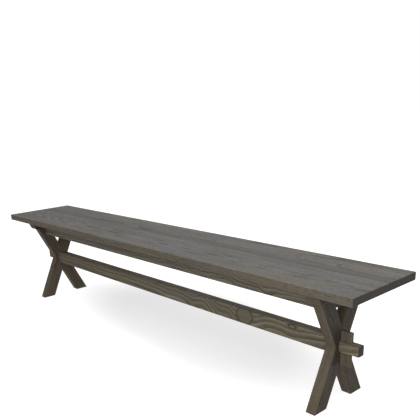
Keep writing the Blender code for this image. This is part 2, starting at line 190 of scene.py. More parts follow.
class ShaderGraph:
    """The nodes of one material, or of the world, and the shader that they feed."""

    # The Mix node's sockets for colours go by number, because those for numbers have the same names.
    MIX_SHARE = 0
    MIX_FIRST = 6
    MIX_SECOND = 7
    MIX_RESULT = 2
    NOISE_ROUGHNESS = 0.55
    SHIFT_BY_AXIS = (1, 0.37, 0.71)

    def __init__(self, owner: bpy.types.Material | bpy.types.World, shader: str = "Principled BSDF") -> None:
        """Switch the nodes on, which start as one shader and its output.

        Args:
            owner: The material or world.
            shader: The name of the shader's node.
        """
        owner.use_nodes = True
        self.owner = owner
        self.nodes = owner.node_tree.nodes
        self.links = owner.node_tree.links
        self.shader = self.nodes[shader]

    def add(self, kind: str, settings: dict, inputs: dict, output: int | str = 0) -> Value:
        """Add any node.

        Args:
            kind: The node's type.
            settings: Its own settings, set first.
            inputs: Values or sockets for its inputs, by name or number.
            output: Which of its outputs to return.

        Returns:
            That output.
        """
        node = self.nodes.new(kind)
        for name, setting in settings.items():
            setattr(node, name, setting)
        self.feed(node, inputs)
        return Value(self, node.outputs[output])

    def feed(self, node: bpy.types.Node, inputs: dict) -> None:
        """Give a node's input sockets their links or plain values.

        Args:
            node: The node.
            inputs: What each socket gets, by the socket's name or number.
        """
        for name, given in inputs.items():
            if isinstance(given, Value):
                self.links.new(given.socket, node.inputs[name])
            else:
                node.inputs[name].default_value = given

    def mix(self, share: Value | float, first: object, second: object, blend: str = "MIX") -> Value:
        """Mix two colours.

        Args:
            share: How much of the second colour shows.
            first: A colour or its socket.
            second: Another.
            blend: How the second goes over the first.

        Returns:
            The mixed colour.
        """
        first, second = (given if isinstance(given, Value) else (*given, 1) for given in (first, second))
        settings = {"data_type": "RGBA", "blend_type": blend}
        inputs = {self.MIX_SHARE: share, self.MIX_FIRST: first, self.MIX_SECOND: second}
        return self.add("ShaderNodeMix", settings, inputs, self.MIX_RESULT)

    def object_place(self) -> Value:
        """The shaded spot's place in Object coordinates, which are the bench's own."""
        return self.add("ShaderNodeTexCoord", {}, {}, "Object")

    def axes(self, place: Value) -> list[Value]:
        """The three numbers of a vector."""
        return [self.add("ShaderNodeSeparateXYZ", {}, {"Vector": place}, axis) for axis in range(3)]

    def pattern(self, place: Value, pattern: Pattern, output: str = "Fac") -> Value:
        """Read a pattern.

        Args:
            place: Where it is read.
            pattern: The pattern.
            output: "Fac" for one number from 0 to 1, "Color" for three.

        Returns:
            What it reads there.
        """
        shift = tuple(pattern.shift * share for share in self.SHIFT_BY_AXIS)
        inputs = {0: place, 1: pattern.scale, 2: shift}
        stretched = self.add("ShaderNodeVectorMath", {"operation": "MULTIPLY_ADD"}, inputs)
        inputs = {"Vector": stretched, "Scale": 1, "Detail": pattern.detail, "Roughness": self.NOISE_ROUGHNESS}
        return self.add("ShaderNodeTexNoise", {"noise_dimensions": "3D"}, inputs, output)

    def bump(self, relief: Value, strength: float, distance: float) -> Value:
        """The surface's direction where a relief of a given depth is pressed into it."""
        inputs = {"Strength": strength, "Distance": distance, "Height": relief}
        return self.add("ShaderNodeBump", {}, inputs, "Normal")

    def seen(self) -> Value:
        """Tell what is looked at from what only lights the scene.

        Returns:
            One for the camera, for gloss and for what shows through, and 0 for light that falls on things.
        """
        rays = ("Is Camera Ray", "Is Glossy Ray", "Is Transmission Ray")
        camera, glossy, through = (self.add("ShaderNodeLightPath", {}, {}, ray) for ray in rays)
        return camera.most(glossy).most(through)


@dataclass(frozen=True)
class Knot:
    """A small knot or, where it is drawn out, a dark fleck, at a place along and across its board's face."""

    along: float
    across: float
    radius: float
    drawn_out: float = 1.7
    darkness: float = 0.85


@dataclass(frozen=True)
class Swell:
    """An oval of plain wood near a board's face, with one dark line round it where the rings stop."""

    along: float
    across: float
    half_length: float
    half_width: float
    line_width: float = 0.0055


@dataclass(frozen=True)
class Rise:
    """A stretch of the log where the rings bulge, which bends the lines of the figure."""

    along: float
    length: float
    height: float


@dataclass(frozen=True)
class Growth:
    """How a board lies in its log, in the board's own axes: along the grain, across and out of its face."""

    pith_across: float
    pith_deep: float
    ring_width: float = 0.0045
    taper: float = 0.02
    waviness: float = 0.012
    sway: float = 0.012
    waves_per_metre: float = 1.1
    ring_start: float = 0
    bolder_along: float = 0
    seed: float = 0
    knots: tuple[Knot, ...] = ()
    swells: tuple[Swell, ...] = ()
    rises: tuple[Rise, ...] = ()


@dataclass(frozen=True)
class Stain:
    """The colours and gloss that one batch of stain and lacquer gives the timber, and a tint of its wide faces
    that is painted light and shade.
    """

    light: Colour
    dark: Colour
    earlywood: Colour
    latewood: Colour
    pore: Colour
    knot: Colour
    end_grain: Colour
    worn: Colour = (0.22, 0.19, 0.14)
    # Painted light and shade: multiplies the colour of the board's wide faces, to stand for how the lamps
    # light them apart from the edges.
    painted_face_shading: Colour = (1, 1, 1)
    ring_contrast: float = 0.8
    side_contrast: float = 0.4
    roughness: float = 0.58
    gloss: float = 0.25


@dataclass(frozen=True)
class Placement:
    """Where a board's own axes lie on the bench, and where its faces end.

    grain and face are unit vectors along the grain and out of the board's face. half_size is half its length,
    width and thickness. skew slants both ends the same way and splay slants them opposite ways, in metres of
    length for each metre across. end_bevel is how far the end grain reaches round the board's ends.
    """

    centre: Vector
    grain: Vector
    face: Vector
    half_size: Vector
    skew: float = 0
    splay: float = 0
    end_bevel: float = 0.0012

    @classmethod
    def filling(cls, node: str, grain: Vector, face: Vector, **shape: float) -> "Placement":
        """Place a board that fills its node's box.

        Args:
            node: The node.
            grain: The direction of the board's grain.
            face: The direction out of its face.
            shape: Its splay or end_bevel, where it has one of its own.

        Returns:
            The placement.
        """
        size = node_size(node)
        half = Vector([abs(axis.dot(size)) / 2 for axis in (grain, face.cross(grain), face)])
        half.x -= shape.get("splay", 0) * half.y
        return cls(node_middle(node), grain, face, half, **shape)

    @property
    def turn(self) -> tuple[float, float, float]:
        """The board's axes as Euler angles."""
        across = self.face.cross(self.grain)
        return tuple(Matrix((self.grain, across, self.face)).transposed().to_euler())


@dataclass(frozen=True)
class Spot:
    """The shaded spot in the axes of its board: along the grain, across its face and out of it."""

    graph: ShaderGraph
    board: Value
    along: Value
    across: Value
    deep: Value
    seed: float

    def read(self, pattern: Pattern, output: str = "Fac") -> Value:
        """What a pattern reads at the spot, shifted by the board's seed so that no two boards are alike."""
        return self.graph.pattern(self.board, replace(pattern, shift=pattern.shift + self.seed), output)


@dataclass(frozen=True)
class StainedWood:
    """The finish of one board: solid ring-porous timber, stained and lacquered, seen wherever it is cut.

    A span is the two readings, of a pattern or of a distance, between which something comes in.
    """

    stain: Stain
    growth: Growth
    placement: Placement
    streak: Pattern = Pattern((2.2, 62, 62), 3)
    fibre: Pattern = Pattern((9, 420, 420), 2)
    blotch: Pattern = Pattern((2.6, 9, 9), 2)
    streak_share: float = 0.55
    fibre_share: float = 0.25
    blotch_share: float = 0.2
    tone_span: Span = (0.34, 0.66)
    cast: Pattern = Pattern((2.4, 17, 17), 2, shift=5)
    cast_span: Span = (0.35, 0.65)
    cool_cast: Colour = (0.98, 1, 1.05)
    warm_cast: Colour = (1.07, 0.99, 0.88)
    face_span: Span = (0.0008, 0.0002)
    dash: Pattern = Pattern((75, 1500, 1500), 1, shift=1)
    dash_span: Span = (0.6, 0.68)
    dash_crowding: float = 0.1
    pore_strength: float = 0.8
    ray: Pattern = Pattern((60, 900, 60), 1)
    ray_span: Span = (0.6, 0.72)
    ray_strength: float = 0.2
    end_strength: float = 0.95
    end_blur: float = 0.0006
    scuff: Pattern = Pattern((55, 140, 140), 2, shift=3)
    scuff_span: Span = (0.42, 0.6)
    wear_span: Span = (0.0052, 0.0022)
    wear_wander: float = 0.004
    wear_strength: float = 0.55
    knot_fade: Span = (1.25, 0.55)
    bulge_length: float = 1.8
    bulge_width: float = 2.6
    bulge_rings: float = 2.4
    waves_across: float = 7
    wave_detail: float = 2
    vigour: Pattern = Pattern((4, 30, 30), 2, shift=2)
    vigour_span: Span = (0.32, 0.62)
    earlywood_fall: float = 2.2
    latewood_span: Span = (0.35, 0.95)
    swell_skin: Span = (0.014, 0.004)
    swell_wander: float = 0.3
    swell_line_in: Span = (-1, -0.2)
    swell_line_out: Span = (0.7, 0.2)
    swell_plain: Span = (0.008, 0)
    bump_strength: float = 0.5
    bump_distance: float = 0.0006

    def material(self, name: str) -> bpy.types.Material:
        """Build the board's material.

        Args:
            name: The material's name.

        Returns:
            The material, in the bench's own coordinates.
        """
        graph = ShaderGraph(bpy.data.materials.new(name))
        stain, spot = self.stain, self._spot(graph)
        knot = self._knots(spot)
        early, late, ring_tone = self._rings(spot)
        pore = (spot.read(self.dash) + early * self.dash_crowding).rise(*self.dash_span)
        end, edge = self._ends_and_edges(spot)
        streak, fibre, blotch = map(spot.read, (self.streak, self.fibre, self.blotch))
        tone = streak * self.streak_share + fibre * self.fibre_share + blotch * self.blotch_share
        colour = graph.mix(tone.rise(*self.tone_span), stain.dark, stain.light)
        cast = graph.mix(spot.read(self.cast).rise(*self.cast_span), self.cool_cast, self.warm_cast)
        colour = graph.mix(1, colour, cast, "MULTIPLY")
        boldness = (spot.along * self.growth.bolder_along + 1) * stain.ring_contrast
        colour = graph.mix(late * (0.2 + ring_tone * 0.6) * boldness, colour, stain.latewood)
        faced = (self.placement.half_size.z - abs(spot.deep)).rise(*self.face_span)
        contrast = (faced * (1 - stain.side_contrast) + stain.side_contrast) * boldness
        colour = graph.mix(early * (0.3 + ring_tone * 0.75) * contrast, colour, stain.earlywood)
        colour = graph.mix(pore * self.pore_strength, colour, stain.pore)
        colour = graph.mix(knot, colour, stain.knot)
        rays = spot.read(self.ray).rise(*self.ray_span)
        colour = graph.mix(end * (self.end_strength - rays * self.ray_strength), colour, stain.end_grain)
        scuff = spot.read(self.scuff)
        worn_edge = (edge + scuff * self.wear_wander).rise(*self.wear_span)
        wear = worn_edge * scuff.rise(*self.scuff_span) * self.wear_strength
        colour = graph.mix(wear, colour, stain.worn)
        # Painted light and shade: the wide faces are tinted apart from the edges, as the lamps would light
        # them.
        colour = graph.mix(faced, colour, graph.mix(1, colour, stain.painted_face_shading, "MULTIPLY"))
        relief = fibre * 0.25 - early * 0.35 - pore * 0.9 - knot * 0.3 + streak * 0.3
        looks = {
            "Base Color": colour,
            "Specular IOR Level": stain.gloss,
            "Roughness": stain.roughness + fibre * 0.1 + pore * 0.22 + early * 0.08 + end * 0.15 - wear * 0.1,
            "Normal": graph.bump(relief, self.bump_strength, self.bump_distance),
        }
        graph.feed(graph.shader, looks)
        return graph.owner

    def _spot(self, graph: ShaderGraph) -> Spot:
        """Find the shaded spot in the board's own axes.

        Args:
            graph: The material's nodes.

        Returns:
            The spot.
        """
        turned = {"Location": self.placement.centre, "Rotation": self.placement.turn}
        inputs = {"Vector": graph.object_place(), **turned}
        board = graph.add("ShaderNodeMapping", {"vector_type": "TEXTURE"}, inputs)
        return Spot(graph, board, *graph.axes(board), self.growth.seed)

    def _knots(self, spot: Spot) -> Value:
        """Find how near the spot is to a knot.

        Args:
            spot: The shaded spot.

        Returns:
            From 0, clear of any knot, to 1 at its heart.
        """
        found = spot.along * 0
        rim, heart = self.knot_fade
        for knot in self.growth.knots:
            lengthwise = (spot.along - knot.along) / knot.drawn_out
            distance = (lengthwise ** 2 + (spot.across - knot.across) ** 2).root()
            found = found.most(distance.rise(knot.radius * rim, knot.radius * heart) * knot.darkness)
        return found

    def _rings(self, spot: Spot) -> tuple[Value, Value, Value]:
        """Lay the growth rings round the pith, bent by the log's waves, rises and knots.

        Args:
            spot: The shaded spot.

        Returns:
            The shares of earlywood and latewood, from 0 to 1, and a tone of each ring's own.
        """
        graph, growth = spot.graph, self.growth
        waves = Pattern((growth.waves_per_metre, self.waves_across, self.waves_across), self.wave_detail)
        drift = spot.read(waves, "Color")
        sideways, inwards, lengthways = (
            graph.add("ShaderNodeSeparateColor", {}, {"Color": drift}, channel) - 0.5 for channel in range(3)
        )
        across_pith = spot.across - growth.pith_across + sideways * growth.waviness
        deep_pith = spot.deep - growth.pith_deep + inwards * growth.waviness
        radius = (across_pith ** 2 + deep_pith ** 2).root()
        radius = radius + spot.along * growth.taper + lengthways * growth.sway
        for rise in growth.rises:
            radius = radius + ((spot.along - rise.along) / rise.length).bell() * rise.height
        for knot in growth.knots:
            lengthwise = (spot.along - knot.along) / (knot.drawn_out * self.bulge_length)
            aside = (lengthwise ** 2 + (spot.across - knot.across) ** 2).root()
            bulge = (aside / (knot.radius * self.bulge_width)).bell()
            radius = radius + bulge * growth.ring_width * self.bulge_rings
        phase = (radius - growth.ring_start) / growth.ring_width
        inputs = {"W": phase.whole() + growth.seed}
        ring_tone = graph.add("ShaderNodeTexWhiteNoise", {"noise_dimensions": "1D"}, inputs, "Value")
        vigour = spot.read(self.vigour).rise(*self.vigour_span)
        early = (1 - phase.part()) ** self.earlywood_fall * (0.35 + vigour * 0.65)
        late = phase.part().rise(*self.latewood_span) * (1.2 - vigour * 0.6)
        line, plain = self._swells(spot, sideways)
        return (early * (1 - plain)).most(line), late * (1 - plain), ring_tone

    def _swells(self, spot: Spot, wander: Value) -> tuple[Value, Value]:
        """Draw the ovals of plain wood.

        Args:
            spot: The shaded spot.
            wander: What makes their outlines uneven, about 0.

        Returns:
            The dark line round each, and how plain the wood in it is, both from 0 to 1.
        """
        line = spot.along * 0
        plain = spot.along * 0
        skin = (self.placement.half_size.z - spot.deep).rise(*self.swell_skin)
        for swell in self.growth.swells:
            lengthwise = (spot.along - swell.along) / swell.half_length
            crosswise = (spot.across - swell.across) / swell.half_width
            aside = (lengthwise ** 2 + crosswise ** 2).root() + wander * self.swell_wander
            outside = (aside - 1) * swell.half_width
            inner, outer = (
                outside.rise(*(share * swell.line_width for share in shares))
                for shares in (self.swell_line_in, self.swell_line_out)
            )
            line = line.most(inner * outer * skin)
            plain = plain.most(outside.rise(*self.swell_plain) * skin)
        return line, plain

    def _ends_and_edges(self, spot: Spot) -> tuple[Value, Value]:
        """Find the board's end grain and its edges.

        Args:
            spot: The shaded spot.

        Returns:
            Where the board is cut across the grain, from 0 to 1, and the distance to its nearest edge.
        """
        placement, half = self.placement, self.placement.half_size
        to_end = half.x + spot.across * placement.splay - abs(spot.along + spot.across * placement.skew)
        to_side = half.y - abs(spot.across)
        to_face = half.z - abs(spot.deep)
        nearest = to_end.least(to_side).least(to_face)
        farthest = to_end.most(to_side).most(to_face)
        edge = to_end + to_side + to_face - nearest - farthest
        reach = placement.end_bevel
        return to_end.rise(reach + self.end_blur, reach - self.end_blur), edge


@dataclass(frozen=True)
class PlainFinish:
    """A finish for hidden hardware and dowels: one colour broken by fine marks."""

    base: Colour
    marked: Colour
    roughness: float
    metallic: float
    marks: Pattern
    mark_span: Span = (0.35, 0.65)
    mark_roughness: float = 0.2
    bump_strength: float = 0.3
    bump_distance: float = 0.0002

    def material(self, name: str) -> bpy.types.Material:
        """Build the material.

        Args:
            name: The material's name.

        Returns:
            The material.
        """
        graph = ShaderGraph(bpy.data.materials.new(name))
        mark = graph.pattern(graph.object_place(), self.marks)
        looks = {
            "Base Color": graph.mix(mark.rise(*self.mark_span), self.base, self.marked),
            "Roughness": self.roughness + mark * self.mark_roughness,
            "Metallic": self.metallic,
            "Normal": graph.bump(mark, self.bump_strength, self.bump_distance),
        }
        graph.feed(graph.shader, looks)
        return graph.owner


class Workpiece:
    """A mesh being shaped with a joiner's operations, in the bench's own coordinates."""

    WEAR_LUMPS_PER_METRE = 9
    FLAT_WEAR = 0.4
    EDGE_WEAR = 3

    def __init__(self) -> None:
        """Start with nothing."""
        self.mesh = bmesh.new()

    @classmethod
    def box(cls, size: Vector, centre: Vector, turn: Matrix | None = None) -> "Workpiece":
        """A plain block.

        Args:
            size: Its length along each axis.
            centre: Its middle.
            turn: A turn about its middle, before it is placed.

        Returns:
            The block.
        """
        piece = cls()
        bmesh.ops.create_cube(piece.mesh, size=1)
        bmesh.ops.scale(piece.mesh, vec=size, verts=piece.mesh.verts)
        if turn is not None:
            bmesh.ops.rotate(piece.mesh, matrix=turn, verts=piece.mesh.verts)
        bmesh.ops.translate(piece.mesh, vec=centre, verts=piece.mesh.verts)
        return piece

    @classmethod
    def filling(cls, node: str) -> "Workpiece":
        """A plain block that fills a node's box."""
        return cls.box(node_size(node), node_middle(node))

    @classmethod
    def turned(cls, profile: Iterable[tuple[float, float]], steps: int) -> "Workpiece":
        """A solid turned about Z.

        Args:
            profile: Points as radius and height, from one end of the axis to the other.
            steps: How many faces go round it.

        Returns:
            The solid, still on the axis.
        """
        piece = cls()
        points = [piece.mesh.verts.new((radius, 0, height)) for radius, height in profile]
        edges = [piece.mesh.edges.new(pair) for pair in zip(points, points[1:])]
        full_turn = {"angle": math.tau, "steps": steps, "use_merge": True}
        bmesh.ops.spin(piece.mesh, geom=points + edges, cent=(0, 0, 0), axis=(0, 0, 1), **full_turn)
        bmesh.ops.remove_doubles(piece.mesh, verts=piece.mesh.verts, dist=TINY)
        bmesh.ops.recalc_face_normals(piece.mesh, faces=piece.mesh.faces)
        return piece

    @classmethod
    def taken_from(cls, thing: bpy.types.Object) -> "Workpiece":
        """Take an object's mesh up again for more shaping.

        Args:
            thing: The object, which is used up.

        Returns:
            Its mesh.
        """
        piece = cls()
        piece.mesh.from_mesh(thing.data)
        bpy.data.objects.remove(thing, do_unlink=True)
        return piece

    def _everything(self) -> list:
        """All vertices, edges and faces."""
        return [*self.mesh.verts, *self.mesh.edges, *self.mesh.faces]

    def saw(self, place: Vector, away: Vector) -> None:
        """Saw off what lies beyond a plane and close the cut.

        Args:
            place: A point on the plane.
            away: The side that falls off.
        """
        cut = {"plane_co": place, "plane_no": away, "clear_outer": True}
        bmesh.ops.bisect_plane(self.mesh, geom=self._everything(), dist=TINY, **cut)
        rim = [edge for edge in self.mesh.edges if edge.is_boundary]
        bmesh.ops.holes_fill(self.mesh, edges=rim, sides=0)

    def bevel(self, edges: list[bmesh.types.BMEdge], reach: float, segments: int) -> None:
        """Bevel some edges, by a distance and in a number of faces."""
        rounding = {"affect": "EDGES", "segments": segments, "profile": 0.5, "material": -1}
        bmesh.ops.bevel(self.mesh, geom=edges, offset=reach, **rounding)

    def ease(self, radius: float, segments: int, kept_sharp: Callable[[Vector], bool] | None = None) -> None:
        """Round the sharp edges.

        Args:
            radius: How far the rounding reaches from each edge.
            segments: How many faces make it.
            kept_sharp: Tells from a face's outward direction whether its edges stay sharp.
        """
        edges = [edge for edge in self.mesh.edges if edge.calc_face_angle(0) >= EASED_ANGLE]
        if kept_sharp is not None:
            edges = [edge for edge in edges if not any(kept_sharp(face.normal) for face in edge.link_faces)]
        self.bevel(edges, radius, segments)

    def slice(self, start: Vector, stop: Vector, spacing: float) -> None:
        """Add loops of edges square to a line, so that a long face can be shaped along its length.

        Args:
            start: The line's start.
            stop: Its end.
            spacing: About how far apart the loops are.
        """
        line = stop - start
        count = int(line.length / spacing)
        for step in range(1, count):
            cut = {"plane_co": start + line * (step / count), "plane_no": line}
            bmesh.ops.bisect_plane(self.mesh, geom=self._everything(), dist=TINY, **cut)

    def weather(self, depth: float, seed: float) -> None:
        """Sink the surface inwards by a little that varies, more at the eased edges than on the flats.

        Args:
            depth: How deep the wear is.
            seed: What makes this piece's wear its own.
        """
        self.mesh.normal_update()
        moves = []
        for vertex in self.mesh.verts:
            spread = 1 - abs(max(vertex.normal, key=abs))
            lump = noise.noise(vertex.co * self.WEAR_LUMPS_PER_METRE + Vector((seed, 0, 0)))
            amount = 0.5 + 0.5 * lump
            moves.append(vertex.normal * (-depth * amount * (self.FLAT_WEAR + self.EDGE_WEAR * spread)))
        for vertex, move in zip(self.mesh.verts, moves):
            vertex.co += move

    def place(self, matrix: Matrix) -> None:
        """Move the whole piece."""
        bmesh.ops.transform(self.mesh, matrix=matrix, verts=self.mesh.verts)

    def as_object(self, name: str) -> bpy.types.Object:
        """Make the piece an object at the origin.

        Args:
            name: The object's name.

        Returns:
            The object.
        """
        data = bpy.data.meshes.new(name)
        self.mesh.to_mesh(data)
        self.mesh.free()
        thing = bpy.data.objects.new(name, data)
        bpy.context.scene.collection.objects.link(thing)
        return thing


def chop(piece: bpy.types.Object, cutters: Iterable[Workpiece]) -> None:
    """Cut joints and holes into a piece.

    Args:
        piece: The piece, whose mesh is replaced.
        cutters: The shapes to take out, which are used up.
    """
    tools = [cutter.as_object("cutter") for cutter in cutters]
    for tool in tools:
        hole = piece.modifiers.new("hole", "BOOLEAN")
        hole.operation = "DIFFERENCE"
        hole.solver = "EXACT"
        hole.object = tool
    bpy.context.view_layer.update()
    depsgraph = bpy.context.evaluated_depsgraph_get()
    finished = bpy.data.meshes.new_from_object(piece.evaluated_get(depsgraph))
    finished.name = piece.name
    piece.modifiers.clear()
    piece.data = finished
    for tool in tools:
        bpy.data.objects.remove(tool, do_unlink=True)


def hand_over(
    piece: bpy.types.Object, material: bpy.types.Material, body: str, slot: str, *nodes: str
) -> None:
    """Finish a piece: shading, material, and what it stands for in the frame.

    Args:
        piece: The finished shape.
        material: Its material.
        body: The frame's body that it rides on.
        slot: The name of a material slot; not used.
        nodes: The frame's nodes that it replaces.
    """
    piece.data.materials.clear()
    piece.data.materials.append(material)
    piece.data.shade_smooth()
    piece.data.set_sharp_from_angle(angle=SHARP_ANGLE)
    even = piece.modifiers.new("even_normals", "WEIGHTED_NORMAL")
    even.keep_sharp = True
    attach(piece, body)
    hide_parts(*nodes)
    LOG.info("%s rides on %s, %d faces", piece.name, body, len(piece.data.polygons))


def node_middle(node: str) -> Vector:
    """The middle of a node's box."""
    low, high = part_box(node)
    return (low + high) / 2


def node_size(node: str) -> Vector:
    """The size of a node's box."""
    low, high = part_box(node)
    return high - low


@dataclass
class Fasteners:
    """The hidden screws and dowels, and the holes that they need in the timber round them."""

    screw_head_height: float = 0.004
    screw_head_round: float = 0.001
    screw_core_share: float = 0.72
    thread_pitch: float = 0.0022
    threaded_length: float = 0.026
    tip_length: float = 0.005
    socket_radius: float = 0.0019
    socket_depth: float = 0.0022
    socket_sides: int = 6
    hole_end_clearance: float = 0.001
    bore_reach: float = 0.12
    shank_radius: float = 0.00225
    dowel_flutes: int = 18
    flute_depth: float = 0.0003
    dowel_chamfer: float = 0.0008
    round_steps: int = 24
    steel: PlainFinish = PlainFinish(
        base=(0.56, 0.55, 0.52),
        marked=(0.44, 0.43, 0.4),
        roughness=0.28,
        metallic=1,
        marks=Pattern((500, 500, 900), 3, 1),
    )
    beech: PlainFinish = PlainFinish(
        base=(0.56, 0.4, 0.25),
        marked=(0.44, 0.29, 0.17),
        roughness=0.55,
        metallic=0,
        marks=Pattern((700, 700, 700), 3, 1),
    )

    def _names(self, *kinds: str) -> list[str]:
        """The frame's nodes of some kinds, kind by kind and in order."""
        return [name for kind in kinds for name in sorted(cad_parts) if name.startswith(kind)]

    def holes(self, meets: Callable[[str], bool], *kinds: str) -> list[Workpiece]:
        """Make a board's holes, for those fasteners of some kinds whose nodes pass a test."""
        chosen = filter(meets, self._names(*kinds))
        return [self._screw_hole(name) if "screw" in name else self._dowel_hole(name) for name in chosen]

    def build(self) -> None:
        """Make every screw and dowel."""
        steel = self.steel.material("zinc_plated_steel")
        beech = self.beech.material("bare_beech")
        for node in self._names("seat_screw", "apron_screw"):
            screw = self._screw(node).as_object(node + "_threaded")
            chop(screw, [self._socket(node)])
            hand_over(screw, steel, FRAME_BODY, "screw_steel", node)
        for node in self._names("leg_dowel", "apron_dowel"):
            dowel = self._dowel(node).as_object(node + "_fluted")
            hand_over(dowel, beech, FRAME_BODY, "dowel_wood", node)

    def _upright(
        self, node: str, profile: list[tuple[float, float]], steps: int, level: float = 0
    ) -> Workpiece:
        """Turn a solid about a screw's axis.

        Args:
            node: The screw's node.
            profile: Points as radius and height.
            steps: How many faces go round it.
            level: Where the heights are counted from.

        Returns:
            The solid.
        """
        middle = node_middle(node)
        solid = Workpiece.turned(profile, steps)
        solid.place(Matrix.Translation((middle.x, middle.y, level)))
        return solid

    def _screw_hole(self, node: str) -> Workpiece:
        """Shape the stepped hole round one screw, its counterbore open downwards.

        Args:
            node: The screw's node.

        Returns:
            The hole's shape.
        """
        low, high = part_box(node)
        top, bottom = high.z + self.hole_end_clearance, low.z - self.bore_reach
        shank = self.shank_radius + JOINT_GAP
        head = (high.x - low.x) / 2 + JOINT_GAP
        seat = low.z + self.screw_head_height + JOINT_GAP
        profile = [(0, top), (shank, top), (shank, seat), (head, seat), (head, bottom), (0, bottom)]
        return self._upright(node, profile, self.round_steps)

    def _dowel_hole(self, node: str) -> Workpiece:
        """Shape the hole round one dowel.

        Args:
            node: The dowel's node.

        Returns:
            The hole's shape.
        """
        length, radius = self._dowel_sizes(node)
        half, wide = length / 2 + self.hole_end_clearance, radius + JOINT_GAP
        hole = Workpiece.turned([(0, half), (wide, half), (wide, -half), (0, -half)], self.round_steps)
        hole.place(self._dowel_place(node))
        return hole

    def _screw(self, node: str) -> Workpiece:
        """Shape one screw with a ringed thread, head down.

        Args:
            node: The screw's node.

        Returns:
            The screw, without its socket.
        """
        low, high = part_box(node)
        head = (high.x - low.x) / 2
        crest, core = self.shank_radius, self.shank_radius * self.screw_core_share
        seat = low.z + self.screw_head_height
        profile = [(0, high.z), (core, high.z - self.tip_length)]
        for turn in range(int(self.threaded_length / self.thread_pitch)):
            level = high.z - self.tip_length - turn * self.thread_pitch
            profile += [(crest, level - self.thread_pitch / 2), (core, level - self.thread_pitch)]
        profile += [(crest, profile[-1][1] - self.thread_pitch / 2), (crest, seat), (head, seat)]
        profile += [(head, low.z + self.screw_head_round), (head - self.screw_head_round, low.z), (0, low.z)]
        return self._upright(node, profile, self.round_steps)

    def _socket(self, node: str) -> Workpiece:
        """Shape the hexagon socket in a screw's head.

        Args:
            node: The screw's node.

        Returns:
            The socket's shape.
        """
        low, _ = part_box(node)
        radius, depth = self.socket_radius, self.socket_depth
        profile = [(0, depth), (radius, depth), (radius, -depth), (0, -depth)]
        return self._upright(node, profile, self.socket_sides, low.z)

    def _dowel_sizes(self, node: str) -> tuple[float, float]:
        """A dowel's length and radius."""
        sizes = sorted(node_size(node))
        return sizes[2], sizes[0] / 2

    def _dowel_place(self, node: str) -> Matrix:
        """Find the move that takes a dowel from the Z axis to its place.

        Args:
            node: The dowel's node.

        Returns:
            The move.
        """
        size = node_size(node)
        turn = Matrix.Rotation(math.pi / 2, 4, "Y") if size.x > size.z else Matrix.Identity(4)
        return Matrix.Translation(node_middle(node)) @ turn

    def _dowel(self, node: str) -> Workpiece:
        """Shape one dowel with chamfered ends and glue flutes along its sides.

        Args:
            node: The dowel's node.

        Returns:
            The dowel.
        """
        length, radius = self._dowel_sizes(node)
        half, bevel = length / 2, self.dowel_chamfer
        profile = [(0, half), (radius - bevel, half), (radius, half - bevel)]
        profile += [(across, -height) for across, height in reversed(profile)]
        steps = self.dowel_flutes * 2
        dowel = Workpiece.turned(profile, steps)
        for vertex in dowel.mesh.verts:
            step = round(math.atan2(vertex.co.y, vertex.co.x) / math.tau * steps)
            if step % 2 and vertex.co.xy.length > radius / 2:
                vertex.co.xy *= 1 - self.flute_depth / radius
        dowel.place(self._dowel_place(node))
        return dowel


# Painted sheen: the tint lifts the top and bottom faces to a cool grey, standing for the lacquer's reflection
# of the white room.
SEAT_STAIN = Stain(
    light=(0.133, 0.1154, 0.0863),
    dark=(0.0931, 0.0805, 0.0598),
    earlywood=(0.042, 0.034, 0.025),
    latewood=(0.166, 0.144, 0.106),
    pore=(0.028, 0.023, 0.018),
    knot=(0.035, 0.026, 0.018),
    end_grain=(0.0568, 0.0516, 0.0447),
    painted_face_shading=(1.16, 1.31, 1.65),
)
# Painted sheen: the tint lifts the top and bottom faces to a cool grey, standing for the lacquer's reflection
# of the white room.
DARK_SEAT_STAIN = Stain(
    light=(0.0995, 0.0868, 0.0652),
    dark=(0.0704, 0.0612, 0.0461),
    earlywood=(0.036, 0.03, 0.023),
    latewood=(0.12, 0.104, 0.0783),
    pore=(0.025, 0.021, 0.017),
    knot=(0.03, 0.023, 0.017),
    end_grain=(0.0516, 0.0473, 0.0413),
    worn=(0.2, 0.175, 0.135),
    painted_face_shading=(1.18, 1.32, 1.62),
    ring_contrast=0.5,
)
RAIL_STAIN = Stain(
    light=(0.177, 0.155, 0.112),
    dark=(0.12, 0.103, 0.0734),
    earlywood=(0.045, 0.036, 0.024),
    latewood=(0.29, 0.253, 0.169),
    pore=(0.026, 0.021, 0.015),
    knot=(0.04, 0.03, 0.022),
    end_grain=(0.051, 0.0495, 0.0455),
    ring_contrast=0.95,
)
# Painted shade: the tint darkens the wide faces, which face along X on the right legs, the spacer blocks and
# the bearers.
LEG_STAIN = Stain(
    light=(0.132, 0.108, 0.0765),
    dark=(0.0865, 0.071, 0.0497),
    earlywood=(0.046, 0.038, 0.027),
    latewood=(0.151, 0.122, 0.0831),
    pore=(0.026, 0.021, 0.016),
    knot=(0.04, 0.03, 0.02),
    end_grain=(0.092, 0.077, 0.062),
    painted_face_shading=(0.525, 0.515, 0.545),
)
# A lit and shaded copy of the leg stain for the left legs: darker all over as painted shade, with the wide
# faces tinted lighter as painted light, for how the lamps fall on that trestle.
LEFT_LEG_PAINTED_LIGHT_STAIN = replace(
    LEG_STAIN,
    light=(0.113, 0.0904, 0.063),
    dark=(0.0743, 0.0595, 0.0411),
    latewood=(0.13, 0.102, 0.0686),
    painted_face_shading=(1.24, 1.21, 1.2),
)
